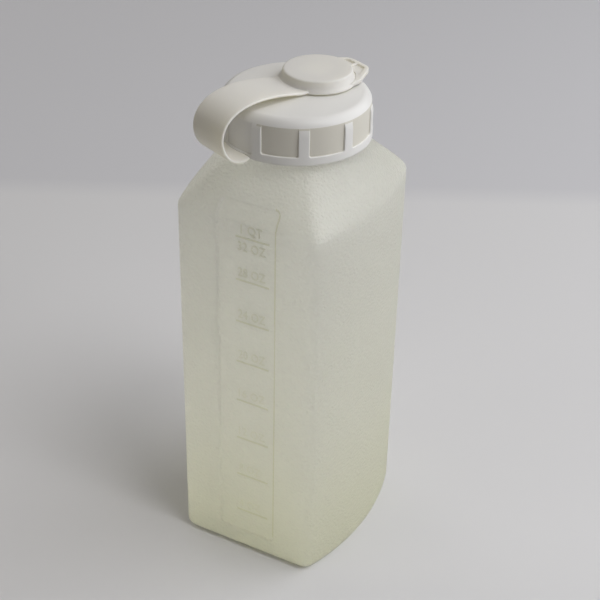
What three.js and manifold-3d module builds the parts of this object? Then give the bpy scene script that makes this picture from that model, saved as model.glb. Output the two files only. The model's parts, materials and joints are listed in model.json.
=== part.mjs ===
// One-quart refrigerator bottle: a translucent blow-moulded body with a graduated
// face, a ribbed screw cap, and a press-on pouring stopper that stays with the cap on
// a looped strap. Millimetres, +Z up, origin at the centre of the base. The
// graduated face looks along -Y.
import * as THREE from "three";
import { mergeVertices } from "three/addons/utils/BufferGeometryUtils.js";
import Module from "manifold-3d";

const wasm = await Module();
wasm.setup();

const DEG = Math.PI / 180;

// Body: a square-ish plan with flat front and back and bowed left and right sides.
const BODY_HALF_X = [40.0, 40.4];      // at the base, at the shoulder
const BODY_HALF_Y = [41.35, 41.5];
const SIDE_BOW = [7.6, 7.3];           // how far the bowed sides stand out
const CORNER_R = 5.2;
const WALL = 1.5;
const SHOULDER_Z = 171.7;
const SHOULDER_RISE = 27.8;
const SHOULDER_SHAPE = [1.75, 1.9];    // exponents of the shoulder's falling curve
const FOOT_EDGE = 4.2;                 // rounding between the side and the foot
const PUSH_UP = 2.4;                   // how far the middle of the base is lifted

// Neck finish and screw thread.
const NECK_R = 27.2;
const NECK_BORE_R = 25.0;
const NECK_TOP_Z = 213.0;
const PITCH = 5.0;
const THREAD_TURNS = 1.25;
const NECK_THREAD_Z = 202.6;
const NECK_THREAD_R = 28.9;
const CAP_THREAD_R = 27.9;
const ROOT_HALF = 1.2;                 // half height of a thread at its root
const CREST_HALF = 0.55;

// Graduated strip sunk in the front face.
const STRIP_X = [-13.6, 14.4];
const STRIP_Z = [10.0, 180.0];
const STRIP_DEPTH = 1.2;
const MARK_Z = 21.9;
const MARK_STEP = 20.67;
const MARK_COUNT = 8;
const MARK_X = [-5.0, 11.0];

// Screw cap.
const CAP_R = 32.0;
const CAP_Z = 198.0;
const CAP_EDGE_Z = 210.0;              // where the skirt starts to round over
const CAP_EDGE = [5.0, 7.5];           // radial and vertical reach of that rounding
const CAP_TOP_Z = 218.5;
const SKIRT_IN_R = 29.9;
const CEILING_Z = 215.2;
const PANELS = 10;
const PANEL_AZ = 3.5;                  // panel grid, from the strap's direction
const PANEL_HALF = 14.0;
const PANEL_Z = [201.8, 214.8];
const PANEL_DEPTH = 0.8;
const TURN_STEPS = 60;

// Strap, pour collar and stopper, all set out from the strap's own direction.
const STRAP_AZ = -112.5;
const STRAP_HALF = 10.0;
const STRAP_T = 1.2;
const LINKS = 4;
const LINK_STEPS = 8;                  // straight facets along each link
const LINK_GAP = 0.5;
const STOPPER_BACK = 11.0;             // stopper's centre, behind the cap's axis
const COLLAR_R = [10.2, 12.1];
const COLLAR_Z = 221.8;
const STOPPER_TOP_R = 14.6;
const STOPPER_BASE_R = 16.4;
const STOPPER_Z = [218.9, 224.0];
const TAB_END = 22.9;
const TAB_HALF = 6.5;
const TAB_Z = [219.0, 220.8];

// Seal ring.
const SEAL_R = [25.2, 27.8];
const SEAL_Z = [213.3, 214.8];

// ---------------------------------------------------------------- helpers

// Turns a closed three.js geometry into a solid, with its faces pointing out.
function solid(geometry) {
  const bare = geometry.clone();
  bare.deleteAttribute("normal");
  bare.deleteAttribute("uv");
  const merged = mergeVertices(bare, 1e-4);
  const vertProperties = Float32Array.from(merged.attributes.position.array);
  const kept = [];
  const index = merged.index.array;
  let volume = 0;
  for (let i = 0; i < index.length; i += 3) {
    const [a, b, c] = [index[i], index[i + 1], index[i + 2]];
    if (a === b || b === c || c === a) continue;
    kept.push(a, b, c);
    const p = new THREE.Vector3().fromArray(vertProperties, 3 * a);
    const q = new THREE.Vector3().fromArray(vertProperties, 3 * b);
    const r = new THREE.Vector3().fromArray(vertProperties, 3 * c);
    volume += p.dot(q.cross(r));
  }
  if (volume < 0) kept.reverse();
  const triVerts = Uint32Array.from(kept);
  return new wasm.Manifold(new wasm.Mesh({ numProp: 3, vertProperties, triVerts }));
}

// Turns a solid back into a three.js geometry.
function shell(made) {
  const mesh = made.getMesh();
  const step = mesh.numProp;
  const points = [];
  for (let i = 0; i < mesh.vertProperties.length; i += step) {
    points.push(mesh.vertProperties[i], mesh.vertProperties[i + 1], mesh.vertProperties[i + 2]);
  }
  const geometry = new THREE.BufferGeometry();
  geometry.setAttribute("position", new THREE.Float32BufferAttribute(points, 3));
  geometry.setIndex(Array.from(mesh.triVerts));
  geometry.computeVertexNormals();
  return geometry;
}

// A turned solid about +Z from [radius, height] points.
function turned(profile, steps = TURN_STEPS) {
  const points = profile.map(([r, z]) => new THREE.Vector2(r, z));
  return solid(new THREE.LatheGeometry(points, steps).rotateX(Math.PI / 2));
}

// The same for a profile that closes on itself away from the axis.
function turnedRing(profile, steps = TURN_STEPS) {
  return turned([...profile, profile[0]], steps);
}

// An upright prism over an outline in plan.
function prism(shape, z0, z1, curveSegments = 5) {
  const options = { depth: z1 - z0, bevelEnabled: false, curveSegments };
  return solid(new THREE.ExtrudeGeometry(shape, options).translate(0, 0, z0));
}

// A plate whose side view is an outline of [x, z] points and that spans y.
function sidePlate(outline, half) {
  const shape = new THREE.Shape(outline.map(([x, z]) => new THREE.Vector2(x, z)));
  const geometry = new THREE.ExtrudeGeometry(shape, { depth: 2 * half, bevelEnabled: false });
  return solid(geometry.rotateX(Math.PI / 2).translate(0, half, 0));
}

function box(x, y, z) {
  const geometry = new THREE.BoxGeometry(x[1] - x[0], y[1] - y[0], z[1] - z[0]);
  return solid(geometry.translate((x[0] + x[1]) / 2, (y[0] + y[1]) / 2, (z[0] + z[1]) / 2));
}

// A closed skin through loops of equally many points, with both ends filled.
function skin(loops) {
  const count = loops[0].length;
  const points = loops.flat(2);
  const index = [];
  for (let k = 0; k + 1 < loops.length; k += 1) {
    for (let i = 0; i < count; i += 1) {
      const a = k * count + i;
      const b = k * count + ((i + 1) % count);
      index.push(a, b, a + count, b, b + count, a + count);
    }
  }
  for (const [k, turn] of [[0, true], [loops.length - 1, false]]) {
    const middle = [0, 1, 2].map((axis) => {
      const total = loops[k].reduce((sum, point) => sum + point[axis], 0);
      return total / count;
    });
    const hub = points.length / 3;
    points.push(...middle);
    for (let i = 0; i < count; i += 1) {
      const a = k * count + i;
      const b = k * count + ((i + 1) % count);
      if (turn) index.push(hub, b, a);
      else index.push(hub, a, b);
    }
  }
  const geometry = new THREE.BufferGeometry();
  geometry.setAttribute("position", new THREE.Float32BufferAttribute(points, 3));
  geometry.setIndex(index);
  return solid(geometry);
}

// A closed outline with rounded corners.
function roundedShape(corners, radius) {
  const shape = new THREE.Shape();
  corners.forEach((corner, i) => {
    const here = new THREE.Vector2(...corner);
    const before = new THREE.Vector2(...corners.at(i - 1)).sub(here);
    const after = new THREE.Vector2(...corners[(i + 1) % corners.length]).sub(here);
    const from = before.setLength(Math.min(radius, before.length() / 2)).add(here);
    const to = after.setLength(Math.min(radius, after.length() / 2)).add(here);
    if (i === 0) shape.moveTo(from.x, from.y);
    else shape.lineTo(from.x, from.y);
    shape.quadraticCurveTo(here.x, here.y, to.x, to.y);
  });
  shape.closePath();
  return shape;
}

const mix = (a, b, t) => a + (b - a) * t;

// ------------------------------------------------------------------- body

// Plan outline, anticlockwise: flat at +-y, bowed at +-x, small corner arcs.
function plan(halfX, halfY, bow, corner) {
  const edge = new THREE.Vector2(halfX - bow, halfY);
  const side = [];
  for (let i = 0; i <= 6; i += 1) {
    side.push(new THREE.Vector2(halfX - bow * (i / 6) ** 2, (halfY * i) / 6));
  }
  const along = side[6].clone().sub(side[5]).normalize();
  const turn = Math.acos(THREE.MathUtils.clamp(-along.x, -1, 1));
  const cut = corner * Math.tan(turn / 2);
  const start = edge.clone().addScaledVector(along, -cut);
  const centre = start.clone().addScaledVector(new THREE.Vector2(-along.y, along.x), corner);
  const first = Math.atan2(start.y - centre.y, start.x - centre.x);
  const quarter = side.filter((p) => edge.clone().sub(p).dot(along) > cut + 0.4);
  for (let i = 0; i <= 4; i += 1) {
    const angle = mix(first, Math.PI / 2, i / 4);
    quarter.push(new THREE.Vector2(Math.cos(angle), Math.sin(angle)).multiplyScalar(corner).add(centre));
  }
  quarter.push(new THREE.Vector2(edge.x * 0.55, halfY));
  quarter.push(new THREE.Vector2(0, halfY));
  const outline = [];
  const flips = [[1, 1, false], [-1, 1, true], [-1, -1, false], [1, -1, true]];
  for (const [sx, sy, backwards] of flips) {
    const part = quarter.map((p) => [p.x * sx, p.y * sy]);
    if (backwards) part.reverse();
    outline.push(...part.slice(0, -1));
  }
  return outline;
}

// One level loop of the body, drawn in by an inset.
function bodyLoop(z, inset) {
  const t = THREE.MathUtils.clamp(z / SHOULDER_Z, 0, 1);
  const halfX = mix(BODY_HALF_X[0], BODY_HALF_X[1], t) - inset;
  const halfY = mix(BODY_HALF_Y[0], BODY_HALF_Y[1], t) - inset;
  const bow = mix(SIDE_BOW[0], SIDE_BOW[1], t);
  return plan(halfX, halfY, bow, Math.max(CORNER_R - inset * 0.4, 2.5));
}

// How much of the barrel's reach beyond the neck is left at a shoulder height.
function shoulderShare(rise) {
  const [p, q] = SHOULDER_SHAPE;
  return (1 - rise ** p) ** q;
}

// The whole outer form, or the same form drawn in evenly by an inset.
function bodyForm(inset) {
  const loops = [];
  const foot = [[12.5, PUSH_UP], [9.8, PUSH_UP * 0.25], [8.2, 0], [FOOT_EDGE, 0]];
  for (const angle of [30, 60, 90]) {
    const run = FOOT_EDGE * (1 - Math.sin(angle * DEG));
    foot.push([run, FOOT_EDGE * (1 - Math.cos(angle * DEG))]);
  }
  for (const [run, z] of foot) {
    loops.push(bodyLoop(z, inset + run).map(([x, y]) => [x, y, z + inset * (run > 1 ? 1 : 0.5)]));
  }
  loops.push(bodyLoop(SHOULDER_Z, inset).map(([x, y]) => [x, y, SHOULDER_Z - inset * 0.2]));
  const barrel = bodyLoop(SHOULDER_Z, inset);
  for (const rise of [0.08, 0.17, 0.28, 0.4, 0.54, 0.7, 0.88]) {
    const share = shoulderShare(rise);
    const slope = (shoulderShare(rise + 0.01) - shoulderShare(rise - 0.01)) / (0.02 * SHOULDER_RISE);
    loops.push(barrel.map(([x, y]) => {
      const reach = Math.hypot(x, y);
      const lean = slope * (reach - NECK_R);
      const drawIn = inset * (Math.min(Math.sqrt(1 + lean * lean), 2) - 1);
      const r = NECK_R - inset + (reach + inset - NECK_R) * share - drawIn;
      return [(x / reach) * r, (y / reach) * r, SHOULDER_Z + SHOULDER_RISE * rise];
    }));
  }
  loops.push(barrel.map(([x, y]) => {
    const reach = Math.hypot(x, y);
    const r = NECK_R - 0.2 - inset * 1.2;
    return [(x / reach) * r, (y / reach) * r, SHOULDER_Z + SHOULDER_RISE];
  }));
  return skin(loops);
}

// A helical rib of trapezoid section that tapers in at both ends.
function helix(z0, rootR, crestR) {
  const stepsPerTurn = 48;
  const steps = Math.round(stepsPerTurn * THREAD_TURNS);
  const loops = [];
  for (let i = 0; i <= steps; i += 1) {
    const angle = (2 * Math.PI * i) / stepsPerTurn;
    const fade = Math.min(1, (i + 0.4) / 6, (steps - i + 0.4) / 6);
    const z = z0 + (PITCH * i) / stepsPerTurn;
    const crest = mix(rootR, crestR, fade);
    const section = [[rootR, -ROOT_HALF], [crest, -CREST_HALF], [crest, CREST_HALF], [rootR, ROOT_HALF]];
    loops.push(section.map(([r, dz]) => [r * Math.cos(angle), r * Math.sin(angle), z + dz]));
  }
  return skin(loops);
}

function makeBody() {
  const reach = [-60, -20];
  const strip = box(STRIP_X, reach, STRIP_Z);
  const wide = box([STRIP_X[0] - WALL, STRIP_X[1] + WALL], reach, [STRIP_Z[0] - WALL, STRIP_Z[1] + WALL]);
  const neck = turned([[0, 190], [NECK_R, 190], [NECK_R, NECK_TOP_Z - 0.5], [NECK_R - 0.5, NECK_TOP_Z], [0, NECK_TOP_Z]], 64);
  const bore = turned([[0, 192], [NECK_BORE_R, 192], [NECK_BORE_R, NECK_TOP_Z + 1], [0, NECK_TOP_Z + 1]], 64);
  let form = bodyForm(0).subtract(strip.subtract(bodyForm(STRIP_DEPTH)));
  for (let k = 0; k < MARK_COUNT; k += 1) {
    const z = MARK_Z + MARK_STEP * k;
    const face = -mix(BODY_HALF_Y[0], BODY_HALF_Y[1], z / SHOULDER_Z) + STRIP_DEPTH;
    form = form.add(box(MARK_X, [face - 0.45, face + 0.6], [z - 0.4, z + 0.4]));
  }
  const hollow = bodyForm(WALL).subtract(wide.subtract(bodyForm(WALL + STRIP_DEPTH)));
  return form.add(neck).subtract(hollow.add(bore)).add(helix(NECK_THREAD_Z, NECK_R - 0.3, NECK_THREAD_R));
}

// -------------------------------------------------------------------- cap

// Outer radius of the cap at a height on its rounded edge.
function capRadius(z) {
  const up = THREE.MathUtils.clamp((z - CAP_EDGE_Z) / CAP_EDGE[1], 0, 1);
  return CAP_R - CAP_EDGE[0] + CAP_EDGE[0] * Math.sqrt(1 - up * up);
}

// Shallow recess cutter between two heights, over a sector of the skirt.
function recess(azimuth, half, z0, z1) {
  const heights = [z0, CAP_EDGE_Z, 211.6, 213.2, z1];
  const profile = heights.map((z) => [capRadius(z) - PANEL_DEPTH, z]);
  const ring = turnedRing([...profile, [CAP_R + 3, z1], [CAP_R + 3, z0]]);
  const sector = new THREE.Shape([
    new THREE.Vector2(0, 0),
    new THREE.Vector2(50 * Math.cos((azimuth - half) * DEG), 50 * Math.sin((azimuth - half) * DEG)),
    new THREE.Vector2(50 * Math.cos((azimuth + half) * DEG), 50 * Math.sin((azimuth + half) * DEG)),
  ]);
  return ring.intersect(prism(sector, z0 - 1, z1 + 1));
}

function makeCap() {
  const outside = [[0, CAP_TOP_Z], [16, CAP_TOP_Z - 0.15], [22, CAP_TOP_Z - 0.5]];
  for (const angle of [90, 72, 54, 38, 24, 11, 0]) {
    const r = CAP_R - CAP_EDGE[0] + CAP_EDGE[0] * Math.cos(angle * DEG);
    outside.push([r, CAP_EDGE_Z + CAP_EDGE[1] * Math.sin(angle * DEG)]);
  }
  outside.push([CAP_R, CAP_Z + 0.6], [CAP_R - 0.5, CAP_Z]);
  const inside = [
    [SKIRT_IN_R + 0.5, CAP_Z],
    [SKIRT_IN_R, CAP_Z + 0.6],
    [SKIRT_IN_R, 210.5],
    [28.4, CEILING_Z],
    [24.6, CEILING_Z],
    [24.6, 211.2],
    [23.6, 211.2],
    [23.6, CEILING_Z],
    [12, 216.0],
    [0, 216.2],
  ];
  let cap = turned([...outside, ...inside]);
  for (let k = 0; k < PANELS; k += 1) {
    const under = k === 0 ? CAP_Z + 1.9 : PANEL_Z[0];
    cap = cap.subtract(recess(PANEL_AZ + (360 / PANELS) * k, PANEL_HALF, under, PANEL_Z[1]));
  }
  // Pour collar with a small bead that the stopper grips.
  const [boreR, collarR] = COLLAR_R;
  const collar = [[0, 216.8], [collarR, 216.8], [collarR, 220.2], [collarR + 0.4, 220.7]];
  collar.push([collarR + 0.4, 221.2], [collarR - 0.2, COLLAR_Z], [0, COLLAR_Z]);
  cap = cap.add(turned(collar, 48).translate([-STOPPER_BACK, 0, 0]));
  const pour = [[0, 205], [boreR, 205], [boreR, 221.2], [boreR + 0.6, COLLAR_Z + 0.2], [0, COLLAR_Z + 0.2]];
  cap = cap.subtract(turned(pour, 48).translate([-STOPPER_BACK, 0, 0]));
  // Root of the strap, moulded on the skirt's lower edge.
  const root = sidePlate([[27, 198.1], [32.05, 198.1], [32.05, 199.3], [27, 199.3]], STRAP_HALF);
  cap = cap.add(root.subtract(turned([[0, 190], [30.6, 190], [30.6, 205], [0, 205]])));
  const thread = helix(NECK_THREAD_Z - PITCH / 2, SKIRT_IN_R + 0.4, CAP_THREAD_R);
  return cap.add(thread.rotate([0, 0, -STRAP_AZ]));
}

// ------------------------------------------------------ strap and stopper

// Middle line of the strap in side view: out from the skirt, up and back over.
const strapLine = new THREE.CubicBezierCurve(
  new THREE.Vector2(32.3, 198.7),
  new THREE.Vector2(46.4, 194.1),
  new THREE.Vector2(58.5, 232.3),
  new THREE.Vector2(6.6, 220.2),
);

function makeLink(k) {
  const length = strapLine.getLength();
  const from = (k / LINKS) * length + (k === 0 ? 0.15 : LINK_GAP / 2);
  const to = ((k + 1) / LINKS) * length - (k === LINKS - 1 ? 0.1 : LINK_GAP / 2);
  const outer = [];
  const inner = [];
  for (let i = 0; i <= LINK_STEPS; i += 1) {
    const u = mix(from, to, i / LINK_STEPS) / length;
    const p = strapLine.getPointAt(u);
    const d = strapLine.getTangentAt(u);
    outer.push([p.x + (d.y * STRAP_T) / 2, p.y - (d.x * STRAP_T) / 2]);
    inner.push([p.x - (d.y * STRAP_T) / 2, p.y + (d.x * STRAP_T) / 2]);
  }
  return sidePlate([...outer, ...inner.reverse()], STRAP_HALF);
}

function makeStopper() {
  const [baseZ, topZ] = STOPPER_Z;
  const centre = [-STOPPER_BACK, 0, 0];
  const outside = turned([
    [0, baseZ],
    [STOPPER_BASE_R - 0.3, baseZ],
    [STOPPER_BASE_R, baseZ + 0.4],
    [STOPPER_BASE_R - 0.9, baseZ + 1.9],
    [STOPPER_TOP_R + 0.3, topZ - 1.0],
    [STOPPER_TOP_R, topZ - 0.35],
    [STOPPER_TOP_R - 0.5, topZ],
    [0, topZ],
  ], 64).translate(centre);
  const strapEnd = sidePlate([
    [6.25, 219.55], [6.25, 220.75], [2.6, 220.3], [-2, 220.1], [-2, 218.95], [2.6, 219.1],
  ], STRAP_HALF);
  // Pull tab: a tapering tongue with a raised rim and a middle rib.
  const tabX = (x) => -STOPPER_BACK - x;
  const tongue = roundedShape([
    [tabX(3), 15.2], [tabX(9.9), 15.1], [tabX(TAB_END), TAB_HALF],
    [tabX(TAB_END), -TAB_HALF], [tabX(9.9), -15.1], [tabX(3), -15.2],
  ], 2.2);
  let tab = prism(tongue, TAB_Z[0], TAB_Z[1]);
  for (const side of [1, -1]) {
    const pocket = roundedShape([
      [tabX(15.2), 0.6 * side], [tabX(TAB_END - 1.8), 0.6 * side],
      [tabX(TAB_END - 1.8), 5.3 * side], [tabX(12.2), 11.4 * side],
    ], 1.0);
    tab = tab.subtract(prism(pocket, TAB_Z[1] - 0.9, TAB_Z[1] + 1));
  }
  // Space round the pour collar, and the inside of the hollow plug.
  const around = turnedRing([
    [9.8, topZ - 1.4], [9.0, 217.7], [9.0, 214], [15.3, 214], [15.3, baseZ + 0.3], [13.7, topZ - 1.4],
  ], 64).translate(centre);
  const plug = turned([[0, topZ - 1.2], [9.8, topZ - 1.2], [9.5, 219.4], [8.9, 217.8], [0, 217.8]], 48);
  const plugBore = turned([[0, topZ - 1.6], [8.4, topZ - 1.6], [7.9, 217], [0, 217]], 48);
  return outside.add(strapEnd).add(tab).subtract(around).add(plug.translate(centre))
    .subtract(plugBore.translate(centre));
}

// --------------------------------------------------------------- assembly

const bottle = new THREE.Group();

function place(name, made, look, parent) {
  const mesh = new THREE.Mesh(shell(made), new THREE.MeshStandardMaterial(look));
  mesh.name = name;
  parent.add(mesh);
}

const milky = { color: 0xc9cbb8, roughness: 0.42, metalness: 0, transparent: true, opacity: 0.7 };
const offWhite = { color: 0xe4e2d8, roughness: 0.45, metalness: 0 };
const sealWhite = { color: 0xf0efe9, roughness: 0.6, metalness: 0 };

place("bottle_body", makeBody(), milky, bottle);

const seal = turnedRing([
  [SEAL_R[0], SEAL_Z[0]], [SEAL_R[1], SEAL_Z[0]], [SEAL_R[1], SEAL_Z[1]], [SEAL_R[0], SEAL_Z[1]],
], 48);
place("seal_ring", seal, sealWhite, bottle);

const lid = new THREE.Group();
lid.rotation.z = STRAP_AZ * DEG;
place("screw_cap", makeCap(), offWhite, lid);
for (let k = 0; k < LINKS; k += 1) {
  place(`strap_link_${k + 1}`, makeLink(k), offWhite, lid);
}
place("flip_stopper", makeStopper(), offWhite, lid);
bottle.add(lid);

export default bottle;
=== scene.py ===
"""A one-quart refrigerator bottle: milky translucent body with a raised scale, off-white screw
cap, and a pouring stopper held to the cap by a looped strap. Shapes are worked out in millimetres
and made in metres."""

import json
import math

import bmesh
import bpy
import numpy as np
from mathutils import Matrix, Vector


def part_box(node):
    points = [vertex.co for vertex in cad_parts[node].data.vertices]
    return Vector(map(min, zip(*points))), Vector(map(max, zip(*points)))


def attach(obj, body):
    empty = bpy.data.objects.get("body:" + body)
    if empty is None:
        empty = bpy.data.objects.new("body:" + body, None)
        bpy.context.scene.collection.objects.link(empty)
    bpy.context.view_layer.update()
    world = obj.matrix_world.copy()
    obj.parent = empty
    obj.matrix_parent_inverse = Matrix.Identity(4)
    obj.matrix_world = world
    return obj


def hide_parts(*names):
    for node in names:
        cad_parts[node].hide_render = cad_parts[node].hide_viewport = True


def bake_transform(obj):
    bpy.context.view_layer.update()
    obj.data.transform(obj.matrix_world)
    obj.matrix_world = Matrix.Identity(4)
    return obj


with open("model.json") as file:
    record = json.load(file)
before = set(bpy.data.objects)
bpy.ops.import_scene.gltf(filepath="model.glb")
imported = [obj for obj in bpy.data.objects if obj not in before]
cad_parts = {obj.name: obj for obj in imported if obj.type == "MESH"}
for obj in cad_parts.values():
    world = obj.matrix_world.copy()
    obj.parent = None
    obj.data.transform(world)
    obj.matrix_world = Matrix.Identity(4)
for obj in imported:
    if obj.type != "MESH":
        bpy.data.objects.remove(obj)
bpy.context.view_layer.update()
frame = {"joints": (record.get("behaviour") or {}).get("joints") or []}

MM = 0.001
SHARP = 40.0                       # edges bent by more degrees than this look sharp
BOTTLE_SHARP = 50.0


def node_box(node):
    """A CAD node's lowest and highest corners in millimetres."""
    low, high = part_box(node)
    return np.array(low) / MM, np.array(high) / MM


# ---------------------------------------------------------- sizes, from the frame where it says

body_high = node_box("bottle_body")[1]
stopper_high = node_box("flip_stopper")[1]
seal_low, seal_high = node_box("seal_ring")
JOINTS = {joint["name"]: joint for joint in frame["joints"]}

# The body. Pairs are at the base and at the shoulder.
SPREAD_X = 0.4
SPREAD_Y = 0.15
HALF_X = (body_high[0] - SPREAD_X, body_high[0])
HALF_Y = (body_high[1] - SPREAD_Y, body_high[1])
SIDE_BOW = (7.6, 7.3)
CORNER_R = 5.2
CORNER_SHRINK = 0.4                # per millimetre that the outline is drawn in
CORNER_LEAST = 2.5
WALL = 1.5
BARREL_TOP = 171.7                 # where the sides stop spreading
BARREL_STEP = 3.2
SHOULDER_Z = 173.2
SHOULDER_RISE = 26.3
SHOULDER_SHAPE = (1.4, 1.65)       # powers of the shoulder's curve
FOOT_EDGE = 4.2                    # radius of the edge between the ring and the side
PUSH_UP = 2.4                      # height of the base over the standing ring
BASE_CROWN = 0.8
BASE_INSET = 12.5                  # from the side to the raised part of the base
BASE_TOP = PUSH_UP + WALL + 1.6    # the base has its own material up to this height
BASE_DEPTH = 6.0                   # and from this far in from the side
RING_INSET = (6.2, 8.2)            # from the side to the ring's flat, outer and inner edge
FRONT_Y = -20.0                    # what lies before this is on the front face

# The neck and its thread.
NECK_R = 27.2
NECK_WALL = 2.2
NECK_TOP = body_high[2]
NECK_STEP = 0.33
LIP_ROUND = 0.4
LIP = ((NECK_R, -0.35), (NECK_R - 0.12, -0.12), (NECK_R - LIP_ROUND, 0), (26.1, 0), (25.4, 0),
       (25.12, -0.12), (25.0, -0.35))
WALL_EASE = 10                     # rows over which the body's wall thickens to the neck's
PITCH = JOINTS["cap_lift"]["range_m"][1] / MM / (JOINTS["cap_turn"]["range_deg"][1] / 360)
THREAD_TURNS = 1.25
THREAD_FADE = 1 / 8                # in turns, at either end
NECK_THREAD_Z = 202.6
NECK_THREAD_RISE = 1.7
CAP_THREAD_RISE = 2.0
ROOT_HALF = 1.2                    # half the thread's width at its root and at its crest
CREST_HALF = 0.55

# The graduated strip, its marks and its figures.
STRIP_X = (-13.6, 14.4)
STRIP_Z = (10.0, 181.2)
STRIP_CORNER = 2.2
STRIP_DEPTH = 1.2
STRIP_EDGE = 0.8                   # width of the slope at the strip's edge
MARK_Z = 21.9
MARK_STEP = 20.67
MARKS = 8
MARK_X = (-5.0, 11.0)
MARK_HALF = 0.4
MARK_RISE = 0.4
MARK_CORNER = 0.15
MARK_EDGE = 0.35                   # width of the slope at a mark's edge
STEP_SHIFT = 0.3                   # the band of painted shade on the step lies this far inside the strip's outline
STEP_HALF = 0.6
OUNCES_PER_MARK = 4
FIGURE_HEIGHT = 4.2
CAPITAL_SHARE = 0.7                # a capital's height over the font's size
FIGURE_ABOVE = 1.9                 # from a mark up to the feet of its figures
FIGURE_BELOW = 2.2                 # from the top mark down to the heads of the second label
FIGURE_WIDTHS = {4: 11.0, 5: 13.2}  # by the number of characters
FIGURE_INDENT = 1.0
QUART_WIDTH = 10.2
QUART_INDENT = 2.4
FIGURE_RISE = 0.13                 # half the thickness at the lowest mark
FIGURE_RISE_STEP = 0.012           # more at each mark above
FIGURE_BEVEL = 0.05
FIGURE_SPACING = 1.05

# The cap, and the skirt's shallow panels.
CAP_R = 32.0
CAP_Z = 198.0
CAP_EDGE_Z = 210.0
CAP_EDGE = (5.0, 7.5)              # run and rise of the rounded upper edge
CAP_TOP_Z = 218.5
DOME_DROP = CAP_TOP_Z - CAP_EDGE_Z - CAP_EDGE[1]
DOME_POWER = 3.2
SKIRT_IN_R = 29.9
CEILING_Z = 215.2
BORE_CEILING_Z = 216.1
CAP_THREAD_TOP = 208.2
CAP_THREAD_STEP = 0.3
PANELS = 10
PANEL_AZ = 3.5
PANEL_HALF = 14.0                  # degrees
PANEL_Z = (201.8, 214.8)
PANEL_DEPTH = 0.8
PANEL_CORNER = 0.9
PANEL_EDGE = 0.42                  # width of the slope at a panel's edge
STRAP_PANEL_FOOT = 1.9             # the panel under the strap starts this far up the skirt
PANEL_EDGE_COLUMNS = (-1.6, -0.9, -0.55, -0.35, -0.15, 0.05, 0.25, 0.5, 0.9, 1.7)
PANEL_COLUMNS = np.linspace(-11, 11, 9)
PANEL_LEVELS = np.arange(209.2, 202.9, -0.9)   # heights of the mesh's rings down the skirt
PANEL_FOOT_LEVELS = np.append(np.arange(202.6, 199.3, -0.12), (199.1, 198.8))
EDGE_ANGLES = np.linspace(86, 0, 26)    # degrees, over the rounded upper edge from its top
DOME_SHARES = np.linspace(0.04, 1, 18)  # of the way from the collar to the rounded edge
COLLAR_FILLET = 0.12
COLLAR_FILLET_SHARE = 1 / 12
BORE_R = 10.2
COLLAR_R = 12.1
COLLAR_FOOT_R = COLLAR_R + 0.5
COLLAR_Z = 221.8
COLLAR = ((BORE_R, 216.6), (BORE_R, 218), (BORE_R, 220), (BORE_R, 221.0), (BORE_R + 0.2, 221.5),
          (BORE_R + 0.6, COLLAR_Z), (COLLAR_R - 0.5, COLLAR_Z), (COLLAR_R - 0.1, COLLAR_Z - 0.15),
          (COLLAR_R + 0.25, 221.35), (COLLAR_R + 0.4, 221.0), (COLLAR_R + 0.25, 220.6),
          (COLLAR_R, 220.2), (COLLAR_R, 219.3), (COLLAR_R + 0.1, 218.9), (COLLAR_FOOT_R, 218.62))
SKIRT_FOOT = ((CAP_R - 0.12, CAP_Z + 0.3), (CAP_R - 0.35, CAP_Z + 0.06), (CAP_R - 0.7, CAP_Z),
              (SKIRT_IN_R + 0.6, CAP_Z), (SKIRT_IN_R + 0.2, CAP_Z + 0.2))
FIN_R = (24.6, 23.6)               # outside and inside of the fin that reaches into the neck
FIN_Z = 211.2
FIN_END_R = FIN_R[1] - 0.3
CAP_CEILING = ((SKIRT_IN_R, 210.5), (29.4, 213.2), (28.4, CEILING_Z), (26.5, CEILING_Z),
               (FIN_R[0] + 0.3, CEILING_Z), (FIN_R[0], CEILING_Z - 0.3), (FIN_R[0], FIN_Z + 0.2),
               (FIN_R[0] - 0.2, FIN_Z), (FIN_R[1] + 0.2, FIN_Z), (FIN_R[1], FIN_Z + 0.2),
               (FIN_R[1], CEILING_Z - 0.3), (FIN_END_R, CEILING_Z))
UNDER_STRAP_HALF = 22.0            # degrees on either side that the strap hides

# The strap in its side view, and the stopper.
STRAP_AXIS = np.array(JOINTS["stopper_flip"]["axis"])
STRAP_AZ = math.atan2(-STRAP_AXIS[0], STRAP_AXIS[1])
OUTWARD = np.array([math.cos(STRAP_AZ), math.sin(STRAP_AZ)])
ACROSS = np.array([-OUTWARD[1], OUTWARD[0]])
STRAP_HALF = 10.0
STRAP_T = 1.2
STRAP_LINE = ((32.3, 198.7), (46.4, 194.1), (58.5, 232.3), (6.6, 220.2))
STRAP_TUCK = 1.0                   # how far the strap's outer end reaches into the cap
STRAP_STEPS = 36
TANGENT_STEP = 0.02                # either side of a point, for the line's direction
LINKS = 4
BEND_MARGIN = 0.15                 # millimetres at each end of a length that do not bend
BEND_REACH = {0: (0.8, 6.5), LINKS: (6.0, 1.0)}  # before and after the first and last hinge
ROOT_ARC_R = 15.6                  # where the strap ends, inside the stopper's wall
ROOT_RUN = 4.7                     # the run past the middle line's end that levels off
ROOT_BEND = 0.0248                 # rise over the square of that run
STOPPER_BACK = 11.0
STOPPER_TOP = stopper_high[2]
STOPPER_RIM_R = 13.75
STOPPER_RIM_ROUND = 0.85
STOPPER_WALL = ((14.75, 222.6), (14.95, 221.9), (15.2, 221.2), (15.6, 220.5), (16.05, 219.9),
                (16.35, 219.45), (16.4, 219.25), (16.25, 219.0), (16.0, 218.92),
                (15.6, 218.95), (15.35, 219.15), (14.9, 220.3), (14.1, 221.8), (13.7, 222.5))
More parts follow.
